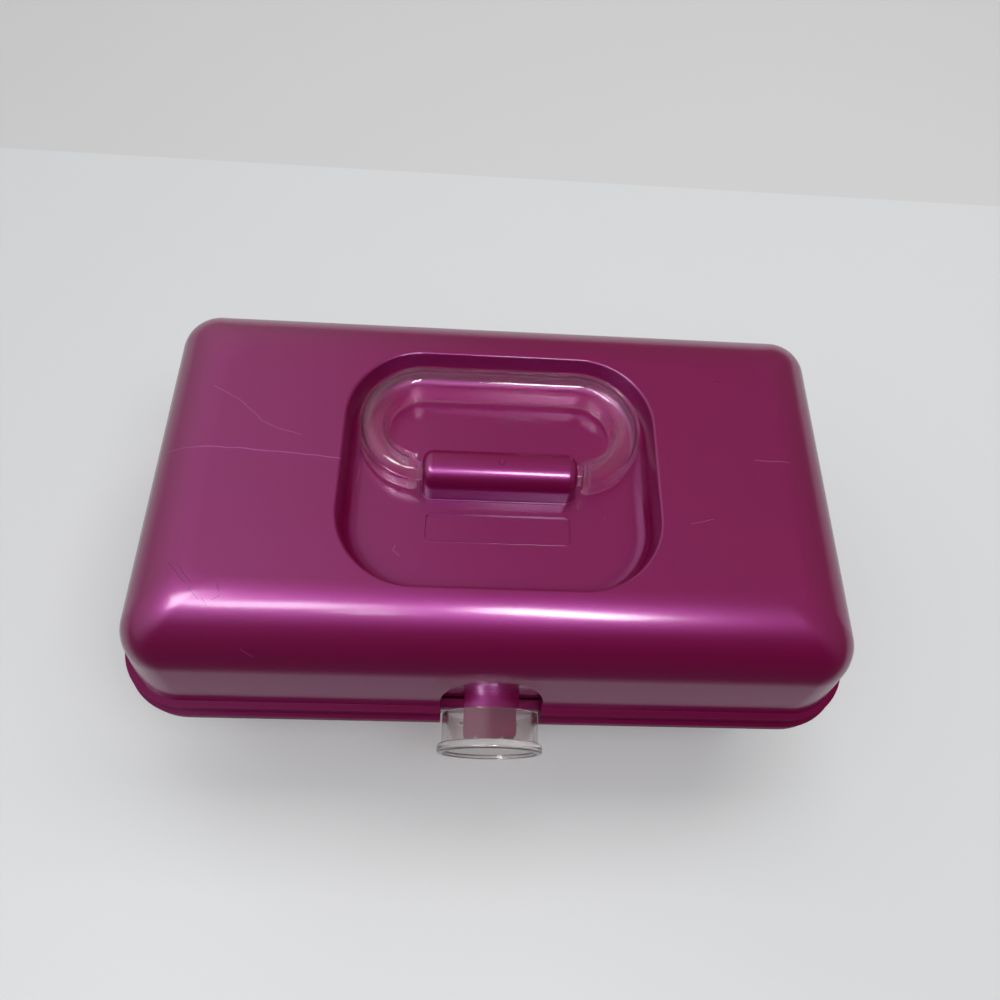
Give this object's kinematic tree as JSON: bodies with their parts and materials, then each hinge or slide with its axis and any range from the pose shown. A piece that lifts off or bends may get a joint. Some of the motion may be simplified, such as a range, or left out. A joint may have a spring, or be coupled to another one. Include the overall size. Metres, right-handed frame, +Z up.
{
  "type": "makeup storage case",
  "caption": "Moulded pink makeup case with a lift lid, a clear folding handle in a lid recess, a clear round front latch, a lid mirror and a tray that rises with the lid.",
  "frame": {"origin": "middle of the flat underside of the base", "axes": "+X to the right seen from the front, +Y to the hinges at the back, +Z up through the lid"},
  "size_m": [0.2886, 0.1909, 0.1241],
  "materials": {
    "case": "pearlescent raspberry moulding, glossy with fine wear marks",
    "inner": "satin raspberry moulding",
    "clear": "clear polished moulding",
    "mirror": "silvered glass",
    "foam": "matt foam sheet",
    "pins": "plain steel"
  },
  "bodies": {
    "base": {"base_shell": "case", "base_divider_left": "inner", "base_divider_right": "inner", "hinge_pin_left": "pins", "hinge_pin_right": "pins", "base_rivets": "pins"},
    "lid": {"lid_shell": "case", "mirror_frame": "inner", "mirror_glass": "mirror", "mirror_foam": "foam", "mirror_screws": "pins"},
    "handle": {"handle": "clear"},
    "latch": {"latch_button": "clear", "latch_pin": "pins"},
    "front_arms": {"arm_front_left": "inner", "arm_front_right": "inner"},
    "rear_arms": {"arm_rear_left": "inner", "arm_rear_right": "inner"},
    "tray": {"tray": "case", "tray_rivets": "pins", "tray_divider_left": "clear", "tray_divider_right": "clear"}
  },
  "joints": [
    {"name": "lid_hinge", "type": "hinge", "parent": "base", "child": "lid", "pos_m": [0, 0.0894, 0.066], "axis": [-1, 0, 0], "range_deg": [0, 100]},
    {"name": "handle_pivot", "type": "hinge", "parent": "lid", "child": "handle", "pos_m": [0, 0, 0.116], "axis": [1, 0, 0], "range_deg": [0, 180]},
    {"name": "latch_flip", "type": "hinge", "parent": "base", "child": "latch", "pos_m": [0, -0.085, 0.0535], "axis": [1, 0, 0], "range_deg": [-3, 75]},
    {"name": "front_arm_swing", "type": "hinge", "parent": "base", "child": "front_arms", "pos_m": [0, 0.0109, 0.04085], "axis": [-1, 0, 0], "range_deg": [0, 90]},
    {"name": "rear_arm_swing", "type": "hinge", "parent": "base", "child": "rear_arms", "pos_m": [0, 0.0629, 0.04085], "axis": [-1, 0, 0], "range_deg": [0, 90]},
    {"name": "tray_level", "type": "hinge", "parent": "front_arms", "child": "tray", "pos_m": [0, -0.058, 0.053], "axis": [-1, 0, 0], "range_deg": [-90, 0]}
  ],
  "couplings": [
    {"joint": "front_arm_swing", "follows": "lid_hinge", "ratio": 0.9},
    {"joint": "rear_arm_swing", "follows": "lid_hinge", "ratio": 0.9},
    {"joint": "tray_level", "follows": "lid_hinge", "ratio": -0.9}
  ]
}
